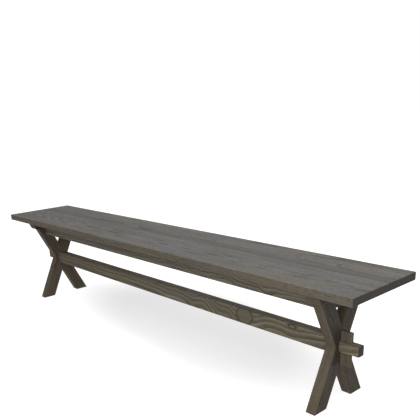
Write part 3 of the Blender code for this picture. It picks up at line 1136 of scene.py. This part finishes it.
# Painted light: the tint makes the rails' front and back faces lighter and cooler than their edges.
APRON_STAIN = replace(RAIL_STAIN, painted_face_shading=(1.2, 1.26, 1.37))
BEARER_STAIN = replace(LEG_STAIN, end_grain=(0.136, 0.117, 0.082))
STRETCHER_STAIN = replace(RAIL_STAIN, latewood=(0.35, 0.306, 0.206), ring_contrast=0.83)
WEDGE_STAIN = replace(
    RAIL_STAIN,
    light=(0.139, 0.12, 0.0895),
    dark=(0.0945, 0.0811, 0.06),
    latewood=(0.19, 0.163, 0.117),
    ring_contrast=0.75,
)


@dataclass(kw_only=True)
class Joinery:
    """What every group of boards shares: how its edges are eased and how far its faces have worn."""

    arris: float = 0.0015
    arris_segments: int = 3
    loop_spacing: float = 0.05
    weathering: float = 0.0001

    def _wear(self, board: Workpiece, start: Vector, stop: Vector, seed: float) -> None:
        """Wear a board's surface unevenly all the way between its two ends."""
        board.slice(start, stop, self.loop_spacing)
        board.weather(self.weathering, seed)


@dataclass(kw_only=True)
class SeatBoards(Joinery):
    """The three boards of the seat, glued edge to edge."""

    arris: float = 0.0025
    arris_segments: int = 4
    weathering: float = 0.00012

    def build(self, fasteners: Fasteners) -> None:
        """Make the boards.

        Args:
            fasteners: The screws that reach up into them.
        """
        middle = Growth(pith_across=0.022, pith_deep=-0.13, ring_width=0.004, taper=0.006, seed=23)
        self._build_board("back", SEAT_STAIN, self._back_growth(), (End.FRONT,), fasteners)
        self._build_board("middle", DARK_SEAT_STAIN, middle, (End.FRONT, End.BACK), fasteners)
        self._build_board("front", SEAT_STAIN, self._front_growth(), (End.BACK,), fasteners)

    def _back_growth(self) -> Growth:
        """Lay the back board in its log, with three small knots near its front edge.

        Returns:
            How it lies there.
        """
        size = node_size("seat_stave_back")
        knots = tuple(
            Knot((share - 0.5) * size.x, across * size.y, radius)
            for share, across, radius in ((0.62, -0.36, 0.005), (0.805, -0.34, 0.004), (0.895, -0.33, 0.0045))
        )
        return Growth(pith_across=0.03, pith_deep=-0.085, taper=0.012, seed=11, knots=knots)

    def _front_growth(self) -> Growth:
        """Lay the front board in its log, with dark flecks down the middle of its arched figure.

        Returns:
            How it lies there.
        """
        return Growth(
            pith_across=-0.008,
            pith_deep=-0.06,
            ring_width=0.005,
            taper=0.03,
            seed=5,
            knots=(
                Knot(-0.4, 0.002, 0.008, 10, 0.75),
                Knot(-0.22, -0.001, 0.009, 9, 0.8),
                Knot(0.14, -0.003, 0.0075, 5, 0.7),
                Knot(0.27, 0.001, 0.007, 5, 0.7),
                Knot(0.41, 0.003, 0.006, 7, 0.65),
                Knot(0.69, 0.002, 0.005, 5, 0.6),
                Knot(0.86, 0, 0.005, 4, 0.6),
                Knot(0.95, 0.003, 0.0045, 5, 0.6),
            ),
        )

    def _build_board(
        self, place: str, stain: Stain, growth: Growth, joints: tuple[End, ...], fasteners: Fasteners
    ) -> None:
        """Make one board.

        Args:
            place: Where it lies in the seat.
            stain: Its stain.
            growth: How it lies in its log.
            joints: Its edges that are glued to a neighbour and stay sharp.
            fasteners: The screws that reach up into it.
        """
        node, name = f"seat_stave_{place}", f"{place}_seat_board"
        low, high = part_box(node)
        glued = [joint.value for joint in joints]
        board = Workpiece.filling(node)
        board.ease(self.arris, self.arris_segments, lambda normal: round(normal.y) in glued)
        self._wear(board, low.project(ALONG), high.project(ALONG), growth.seed)
        piece = board.as_object(name)
        chop(piece, fasteners.holes(lambda screw: self._under(screw, low, high), "seat_screw", "apron_screw"))
        finish = StainedWood(stain, growth, Placement.filling(node, ALONG, UP))
        hand_over(piece, finish.material(name + "_wood"), FRAME_BODY, "seat_wood", node)

    def _under(self, screw: str, low: Vector, high: Vector) -> bool:
        """Whether a screw comes up into the board between two corners."""
        middle, reach = node_middle(screw), node_size(screw).x
        return low.y - reach < middle.y < high.y + reach


@dataclass(kw_only=True)
class Aprons(Joinery):
    """The rails under the seat's front and back."""

    first_seed: int = 31

    def build(self, fasteners: Fasteners) -> None:
        """Make both aprons, with holes for the screws and dowels that hold them."""
        for end in End:
            self._build_rail(end, fasteners)

    def _build_rail(self, end: End, fasteners: Fasteners) -> None:
        """Make one apron.

        Args:
            end: Which one.
            fasteners: The screws and dowels that hold it.
        """
        node = end.word + "_apron"
        seed = self.first_seed + end.value
        low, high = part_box(node)
        rail = Workpiece.filling(node)
        rail.ease(self.arris, self.arris_segments)
        self._wear(rail, low.project(ALONG), high.project(ALONG), seed)
        piece = rail.as_object(end.word + "_seat_rail")
        notches = [self._notch(side, low, high) for side in Side]
        kinds = ("apron_screw", "apron_dowel")
        chop(piece, notches + fasteners.holes(lambda name: low.y < node_middle(name).y < high.y, *kinds))
        growth = Growth(
            pith_across=-0.05,
            pith_deep=-0.1,
            ring_width=0.0038,
            taper=0.005,
            waviness=0.014,
            waves_per_metre=8,
            seed=seed,
        )
        finish = StainedWood(APRON_STAIN, growth, Placement.filling(node, ALONG, BACKWARD * end.value))
        hand_over(piece, finish.material(node + "_wood"), FRAME_BODY, "frame_wood", node)

    def _notch(self, side: Side, low: Vector, high: Vector) -> Workpiece:
        """Shape the corner taken out of a rail's end so that it passes under the bearer.

        Args:
            side: Which end.
            low: The rail's lowest corner.
            high: Its highest corner.

        Returns:
            The corner's shape.
        """
        bearer_low, bearer_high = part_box(side.word + "_bearer")
        floor = bearer_low.z - JOINT_GAP
        inner = bearer_high.x + JOINT_GAP if side is Side.LEFT else bearer_low.x - JOINT_GAP
        outer = side.value * (high.x + CUT_OVERRUN)
        size = Vector((abs(outer - inner), high.y - low.y + CUT_OVERRUN, high.z - floor + CUT_OVERRUN))
        middle = Vector(((outer + inner) / 2, (low.y + high.y) / 2, floor + size.z / 2))
        return Workpiece.box(size, middle)


@dataclass(kw_only=True)
class Trestle(Joinery):
    """One X trestle: two half-lapped legs, a spacer block in their V and a bearer on top."""

    side: Side
    leg_width: float = 0.058
    lap_cutter_ratio: float = 20
    leg_seed: int = 41
    spacer_seed: int = 71
    bearer_seed: int = 61
    loop_spacing: float = 0.04
    slope: float = field(init=False)
    middle: Vector = field(init=False)

    def __post_init__(self) -> None:
        """Work out the legs' slope and the trestle's middle from the frame.

        A leg's box is as wide as its slope times its height plus the level width of its timber, which grows
        with the slope too. That is a quadratic in the slope, whose smaller root is the leg's.
        """
        size = node_size(self._leg_node(End.FRONT))
        height, run, width = size.z, size.y, self.leg_width
        leading = height ** 2 - width ** 2
        root = math.sqrt((run * height) ** 2 - leading * (run ** 2 - width ** 2))
        self.slope = (run * height - root) / leading
        self.middle = Vector((node_middle(self._leg_node(End.FRONT)).x, 0, node_middle("stretcher").z))

    def _leg_node(self, foot: End) -> str:
        """The node of the leg whose foot is at that end."""
        return f"{self.side.word}_leg_{foot.word}_foot"

    def _leg_blank(self, foot: End, size: Vector) -> Workpiece:
        """An upright block turned to a leg's slope about the middle of its node."""
        turn = Matrix.Rotation(foot.value * math.atan(self.slope), 3, "X")
        return Workpiece.box(size, node_middle(self._leg_node(foot)), turn)

    def build(self, fasteners: Fasteners) -> None:
        """Make the trestle.

        Args:
            fasteners: The screws and dowels that run in it.
        """
        for foot in End:
            self._build_leg(foot, fasteners)
        self._build_spacer()
        self._build_bearer(fasteners)

    def _build_leg(self, foot: End, fasteners: Fasteners) -> None:
        """Make one leg, its ends sawn level and its half lap and mortise cut.

        Args:
            foot: At which end its foot is.
            fasteners: The dowels that stand in its top.
        """
        node = self._leg_node(foot)
        low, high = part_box(node)
        thickness, height = high.x - low.x, high.z - low.z
        stretch = math.hypot(1, self.slope)
        length = height * stretch + self.leg_width * 2
        leg = self._leg_blank(foot, Vector((thickness, self.leg_width, length)))
        leg.saw(low, -UP)
        leg.saw(high, UP)
        leg.ease(self.arris, self.arris_segments)
        lean = Vector((0, -foot.value * self.slope, 1)).normalized()
        middle = (low + high) / 2
        seed = self.leg_seed + self.side.value * 3 + foot.value
        self._wear(leg, middle - lean * length / 2, middle + lean * length / 2, seed)
        piece = leg.as_object(f"{self.side.word}_{foot.word}_foot_leg")
        dowel_holes = fasteners.holes(lambda dowel: self._over_leg(dowel, foot), "leg_dowel")
        chop(piece, [self._half_lap(foot, thickness), self._mortise(thickness), *dowel_holes])
        growth = Growth(pith_across=0.014, pith_deep=-0.04, ring_width=0.0035, taper=0.03, seed=seed)
        half = Vector((height * stretch / 2, self.leg_width / 2, thickness / 2))
        face = ALONG * self.side.value
        placement = Placement(middle, lean, face, half, skew=face.cross(lean).z / lean.z)
        stain = LEG_STAIN if self.side is Side.RIGHT else LEFT_LEG_PAINTED_LIGHT_STAIN
        finish = StainedWood(stain, growth, placement)
        hand_over(piece, finish.material(node + "_wood"), FRAME_BODY, "frame_wood", node)

    def _half_lap(self, foot: End, thickness: float) -> Workpiece:
        """Shape the partner leg where it takes the half of this leg that the partner keeps.

        The leg whose foot is at the back on the right, and at the front on the left, keeps its outer half.

        Args:
            foot: At which end this leg's foot is.
            thickness: Both legs' thickness.

        Returns:
            The shape to take out.
        """
        partner = End.FRONT if foot is End.BACK else End.BACK
        keeps_outer = foot.value == self.side.value
        cut_side = -self.side.value if keeps_outer else self.side.value
        deep = thickness / 2 + CUT_OVERRUN
        size = Vector((deep, self.leg_width + JOINT_GAP * 2, thickness * self.lap_cutter_ratio))
        lap = self._leg_blank(partner, size)
        lap.place(Matrix.Translation((cut_side * (deep - JOINT_GAP) / 2, 0, 0)))
        return lap

    def _mortise(self, thickness: float) -> Workpiece:
        """Shape the mortise for the stretcher's tenon.

        Args:
            thickness: The leg's thickness.

        Returns:
            The shape to take out.
        """
        gap = JOINT_GAP * 2
        size = Vector((thickness + CUT_OVERRUN * 2, TENON_THICKNESS + gap, TENON_HEIGHT + gap))
        return Workpiece.box(size, self.middle)

    def _over_leg(self, dowel: str, foot: End) -> bool:
        """Whether a dowel stands in the top of the leg with its foot at that end, which leans to the other."""
        place = node_middle(dowel)
        return place.x * self.side.value > 0 and place.y * foot.value < 0

    def _batten(self, node: str) -> Workpiece:
        """Shape a block that fills a node, its ends sawn to the legs' slope and its edges eased.

        Args:
            node: The node.

        Returns:
            The block.
        """
        low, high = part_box(node)
        block = Workpiece.filling(node)
        for end in End:
            corner = Vector((0, high.y if end is End.BACK else low.y, high.z))
            block.saw(corner, Vector((0, end.value, -self.slope)))
        block.ease(self.arris, self.arris_segments)
        return block

    def _dress_batten(self, piece: bpy.types.Object, node: str, stain: Stain, growth: Growth) -> None:
        """Give a block with slanted ends its wood and hand it over.

        Args:
            piece: The finished block.
            node: Its node.
            stain: Its stain.
            growth: How it lies in its log.
        """
        placement = Placement.filling(node, BACKWARD, ALONG, splay=self.slope)
        finish = StainedWood(stain, growth, placement)
        hand_over(piece, finish.material(node + "_wood"), FRAME_BODY, "frame_wood", node)

    def _build_spacer(self) -> None:
        """Make the block in the top of the V."""
        node, seed = self.side.word + "_spacer_block", self.spacer_seed + self.side.value
        piece = self._batten(node).as_object(self.side.word + "_v_block")
        growth = Growth(pith_across=-0.02, pith_deep=-0.03, ring_width=0.0035, seed=seed)
        self._dress_batten(piece, node, LEG_STAIN, growth)

    def _build_bearer(self, fasteners: Fasteners) -> None:
        """Make the batten on the leg tops.

        Args:
            fasteners: The screws and dowels that run in it.
        """
        node = self.side.word + "_bearer"
        low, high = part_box(node)
        bearer = self._batten(node)
        self._wear(bearer, low.project(BACKWARD), high.project(BACKWARD), self.bearer_seed)
        piece = bearer.as_object(self.side.word + "_cross_batten")
        kinds = ("leg_dowel", "apron_dowel", "seat_screw")
        chop(piece, fasteners.holes(lambda name: node_middle(name).x * self.side.value > 0, *kinds))
        seed = self.bearer_seed + self.side.value
        growth = Growth(pith_across=-0.03, pith_deep=-0.02, ring_width=0.004, seed=seed)
        self._dress_batten(piece, node, BEARER_STAIN, growth)


@dataclass(kw_only=True)
class Stretcher(Joinery):
    """The long rail with its wedged through tenons, and the two wedges."""

    tenon_chamfer: float = 0.004
    chamfer_segments: int = 2
    wedge_thickness: float = 0.011
    wedge_mortise_relief: float = 0.006
    wedge_bottom_share: float = 0.9294
    wedge_arris: float = 0.001
    wedge_seed: int = 91

    def build(self) -> None:
        """Make the rail and its wedges."""
        self._build_rail()
        for side in Side:
            self._build_wedge(side)

    def _build_rail(self) -> None:
        """Make the rail: its tenons sawn, then its edges eased, then the wedges' mortises cut."""
        node, name = "stretcher", "long_stretcher"
        low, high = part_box(node)
        blank = Workpiece.filling(node).as_object(name)
        chop(blank, [cheek for side in Side for cheek in self._cheeks(side, low, high)])
        rail = Workpiece.taken_from(blank)
        self._ease_rail(rail, high.x)
        piece = rail.as_object(name)
        chop(piece, [self._wedge_mortise(side) for side in Side])
        placement = Placement.filling(node, ALONG, -BACKWARD, end_bevel=self.tenon_chamfer)
        finish = StainedWood(STRETCHER_STAIN, self._figure(), placement)
        hand_over(piece, finish.material(node + "_wood"), FRAME_BODY, "frame_wood", node)

    def _figure(self) -> Growth:
        """Lay the rail in its log: long lines, then a diagonal band, an oval and a wave under a small oval.

        Returns:
            How it lies there.
        """
        return Growth(
            pith_across=-0.06,
            pith_deep=-0.19,
            taper=0.002,
            ring_width=0.006,
            waviness=0.004,
            sway=0.005,
            waves_per_metre=2.5,
            ring_start=0.0023,
            bolder_along=0.98,
            seed=83,
            swells=(Swell(0.524, 0.004, 0.043, 0.033), Swell(0.757, 0.0205, 0.018, 0.0085, 0.004)),
            rises=(
                Rise(0.75, 0.42, 0.025),
                Rise(0.47, 0.11, 0.009),
                Rise(0.56, 0.07, 0.008),
                Rise(0.76, 0.055, 0.002),
                Rise(0.05, 0.05, 0.002),
                Rise(0.215, 0.035, 0.003),
                Rise(0.29, 0.03, -0.003),
                Rise(0.375, 0.03, 0.004),
                Rise(0.44, 0.025, -0.003),
            ),
        )

    def _shoulder(self, side: Side) -> float:
        """Where the rail stops against a trestle, along X."""
        low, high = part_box(f"{side.word}_leg_front_foot")
        return low.x - JOINT_GAP if side is Side.RIGHT else high.x + JOINT_GAP

    def _cheeks(self, side: Side, low: Vector, high: Vector) -> list[Workpiece]:
        """Shape the four blocks that are sawn off round one tenon.

        Args:
            side: Which tenon.
            low: The rail's lowest corner.
            high: Its highest corner.

        Returns:
            The blocks.
        """
        middle = (low + high) / 2
        shoulder = self._shoulder(side)
        outer = side.value * (high.x + CUT_OVERRUN)
        run = Vector((abs(outer - shoulder), 0, 0))
        centre = Vector(((outer + shoulder) / 2, middle.y, middle.z))
        size = high - low + Vector((CUT_OVERRUN, CUT_OVERRUN, CUT_OVERRUN)) * 2
        cheeks = []
        for sign in (-1, 1):
            beside = centre + Vector((0, sign * (TENON_THICKNESS + size.y) / 2, 0))
            above = centre + Vector((0, 0, sign * (TENON_HEIGHT + size.z) / 2))
            cheeks.append(Workpiece.box(run + Vector((0, size.y, size.z * 2)), beside))
            cheeks.append(Workpiece.box(run + Vector((0, size.y * 2, size.z)), above))
        return cheeks

    def _ease_rail(self, rail: Workpiece, tip: float) -> None:
        """Chamfer the tenons' ends and then ease the long edges.

        The other order makes the faces at the ends cross.

        Args:
            rail: The rail with its tenons.
            tip: Where the tenons end, along X.
        """
        mesh = rail.mesh
        bmesh.ops.dissolve_limit(mesh, angle_limit=FLAT_ANGLE, verts=mesh.verts, edges=mesh.edges)
        ends = [edge for edge in mesh.edges if min(abs(corner.co.x) for corner in edge.verts) > tip - TINY]
        rail.bevel(ends, self.tenon_chamfer, self.chamfer_segments)
        sharp = [edge for edge in mesh.edges if edge.calc_face_angle(0) > EASED_ANGLE]
        long = [edge for edge in sharp if abs(edge.verts[0].co.x - edge.verts[1].co.x) > TINY]
        rail.bevel(long, self.arris, self.arris_segments)
        bmesh.ops.recalc_face_normals(mesh, faces=mesh.faces)

    def _wedge_faces(self, side: Side) -> tuple[float, float, float]:
        """Find a wedge's faces along X.

        Args:
            side: Which wedge.

        Returns:
            Its inner face, and its outer face at the bottom and at the top.
        """
        low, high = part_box(side.word + "_wedge")
        inner, outer = (low.x, high.x) if side is Side.RIGHT else (high.x, low.x)
        return inner, inner + (outer - inner) * self.wedge_bottom_share, outer

    def _wedge_block(self, side: Side, thickness: float, inner: float, widening: float) -> Workpiece:
        """Shape a wedge or the cutter for its mortise: upright inside, tapering downwards outside.

        Args:
            side: Which wedge.
            thickness: Its size along Y.
            inner: Its inner face, along X.
            widening: How far the sloping face is moved outwards.

        Returns:
            The block.
        """
        low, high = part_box(side.word + "_wedge")
        _, bottom, top = self._wedge_faces(side)
        slant = Vector((abs(top - bottom) * side.value, 0, high.z - low.z))
        outward = Vector((slant.z * side.value, 0, -abs(slant.x))).normalized()
        size = Vector((abs(top - inner) + CUT_OVERRUN, thickness, high.z - low.z))
        centre = Vector((inner + side.value * size.x / 2, 0, (low.z + high.z) / 2))
        block = Workpiece.box(size, centre)
        block.saw(Vector((top, 0, high.z)) + outward * widening, outward)
        return block

    def _wedge_mortise(self, side: Side) -> Workpiece:
        """The slot through a tenon, which starts inside the leg so that the wedge draws the joint tight."""
        inner = self._wedge_faces(side)[0] - side.value * (self.wedge_mortise_relief + JOINT_GAP)
        return self._wedge_block(side, self.wedge_thickness + JOINT_GAP * 2, inner, JOINT_GAP)

    def _build_wedge(self, side: Side) -> None:
        """Make one wedge.

        Args:
            side: Which one.
        """
        node, seed = side.word + "_wedge", self.wedge_seed + side.value
        wedge = self._wedge_block(side, self.wedge_thickness, self._wedge_faces(side)[0], 0)
        wedge.ease(self.wedge_arris, self.arris_segments)
        piece = wedge.as_object(side.word + "_key")
        growth = Growth(
            pith_across=0.06, pith_deep=-0.08, ring_width=0.0044, taper=0.01, waviness=0.004, seed=seed
        )
        finish = StainedWood(WEDGE_STAIN, growth, Placement.filling(node, UP, -BACKWARD))
        hand_over(piece, finish.material(node + "_wood"), node, "wedge_wood", node)


@dataclass(frozen=True)
class Softbox:
    """A large soft rectangular light, aimed at the bench."""

    name: str
    place: tuple[float, float, float]
    size: tuple[float, float]
    power: float
    aim: tuple[float, float, float] = (0, 0, 0.2)

    def build(self) -> None:
        """Hang the light in the studio."""
        light = bpy.data.lights.new(self.name, "AREA")
        light.shape = "RECTANGLE"
        light.size, light.size_y = self.size
        light.energy = self.power
        lamp = bpy.data.objects.new(self.name, light)
        lamp.location = self.place
        aim = Vector(self.aim) - Vector(self.place)
        lamp.rotation_euler = aim.to_track_quat("-Z", "Y").to_euler()
        bpy.context.scene.collection.objects.link(lamp)


@dataclass
class Studio:
    """The white floor, the soft light and the camera at the photograph's viewing angle."""

    camera_place: tuple[float, float, float] = (1.9518, -1.5004, 0.9924)
    camera_yaw: float = 0.8486
    camera_pitch: float = 0.3551
    camera_roll: float = -0.0451
    image_width: float = 420
    focal_pixels: float = 570.6
    vanishing_pixel: tuple[float, float] = (200.7, 314.1)
    sensor_width: float = 36
    floor_size: float = 60
    floor_roughness: float = 0.9
    floor_white: float = 0.6
    floor_bounce: float = 0.3
    # Painted shadow: the lift near the bench is lower than far away, and falls from the first value to the
    # second towards the right end, which paints the shadow deeper there.
    floor_lift: tuple[float, float] = (0.565, 0.535)
    floor_lift_span: Span = (-0.3, 0.7)
    far_floor_lift: float = 0.93
    far_floor_span: Span = (0.65, 1.5)
    # Painted shadow: a slanted ellipse under the bench where the lift stays low.
    shadow_middle: tuple[float, float] = (0.02, 0.2)
    shadow_reach: tuple[float, float] = (0.81, 0.38)
    shadow_slant: float = 0.25
    room_light: float = 0.28
    lights: tuple[Softbox, ...] = (
        Softbox("overhead_softbox", place=(1.15, -0.9, 3.0), size=(4.2, 2.0), power=60),
        Softbox("front_softbox", place=(1.75, -2.0, 1.3), size=(1.8, 1.2), power=32),
    )

    def build(self) -> None:
        """Make the floor, the light and the camera."""
        scene = bpy.context.scene
        scene.view_settings.view_transform = "Standard"
        self._floor()
        self._room()
        for light in self.lights:
            light.build()
        scene.camera = self._camera()

    def _floor(self) -> None:
        """Lay a white floor that keeps the bench's shadow."""
        sheet = Workpiece()
        bmesh.ops.create_grid(sheet.mesh, x_segments=1, y_segments=1, size=self.floor_size / 2)
        floor = sheet.as_object("studio_floor")
        graph = ShaderGraph(bpy.data.materials.new("studio_floor_white"))
        seen = graph.seen()
        looks = {
            "Base Color": graph.mix(seen, self._grey(self.floor_bounce), self._grey(self.floor_white)),
            "Roughness": self.floor_roughness,
            "Specular IOR Level": 0,
            "Emission Color": graph.mix(seen, self._grey(0), self._lift(graph)),
            "Emission Strength": 1,
        }
        graph.feed(graph.shader, looks)
        floor.data.materials.append(graph.owner)

    def _grey(self, level: float) -> Colour:
        """A neutral colour."""
        return (level, level, level)

    def _lift(self, graph: ShaderGraph) -> Value:
        """Work out how much the floor is lifted towards white: less in a slanted ellipse under the bench and
        towards its right end, which paints shadow there over the lamps' own shadow.

        Args:
            graph: The floor's nodes.

        Returns:
            The lift, as a grey.
        """
        along, back, _ = graph.axes(graph.object_place())
        (middle_x, middle_y), (reach_x, reach_y) = self.shadow_middle, self.shadow_reach
        aslant = back + along.most(0) * self.shadow_slant
        away = (((along - middle_x) / reach_x) ** 2 + ((aslant - middle_y) / reach_y) ** 2).root()
        near = graph.mix(along.rise(*self.floor_lift_span), *map(self._grey, self.floor_lift))
        return graph.mix(away.rise(*self.far_floor_span), near, self._grey(self.far_floor_lift))

    def _room(self) -> None:
        """Light the room plainly from all round, with a white background for the camera and for gloss."""
        world = bpy.data.worlds.new("studio_room")
        bpy.context.scene.world = world
        graph = ShaderGraph(world, "Background")
        strength = graph.seen() * (1 - self.room_light) + self.room_light
        graph.feed(graph.shader, {"Color": (1, 1, 1, 1), "Strength": strength})

    def _camera(self) -> bpy.types.Object:
        """Set up the camera, shifted so that its straight-ahead point falls where the photograph's does.

        Returns:
            The camera.
        """
        lens = bpy.data.cameras.new("camera")
        lens.sensor_width = self.sensor_width
        lens.lens = self.focal_pixels * self.sensor_width / self.image_width
        across, down = self.vanishing_pixel
        lens.shift_x = 0.5 - across / self.image_width
        lens.shift_y = down / self.image_width - 0.5
        camera = bpy.data.objects.new("camera", lens)
        turn = Matrix.Rotation(self.camera_yaw, 4, "Z")
        tilt = Matrix.Rotation(math.pi / 2 - self.camera_pitch, 4, "X")
        lean = Matrix.Rotation(self.camera_roll, 4, "Z")
        camera.matrix_world = Matrix.Translation(self.camera_place) @ turn @ tilt @ lean
        bpy.context.scene.collection.objects.link(camera)
        return camera


def main() -> None:
    """Build the bench and its studio."""
    logging.basicConfig(level=logging.INFO, format="%(name)s: %(message)s")
    fasteners = Fasteners()
    SeatBoards().build(fasteners)
    Aprons().build(fasteners)
    for side in Side:
        Trestle(side=side).build(fasteners)
    Stretcher().build()
    fasteners.build()
    Studio().build()


if __name__ == "__main__":
    main()
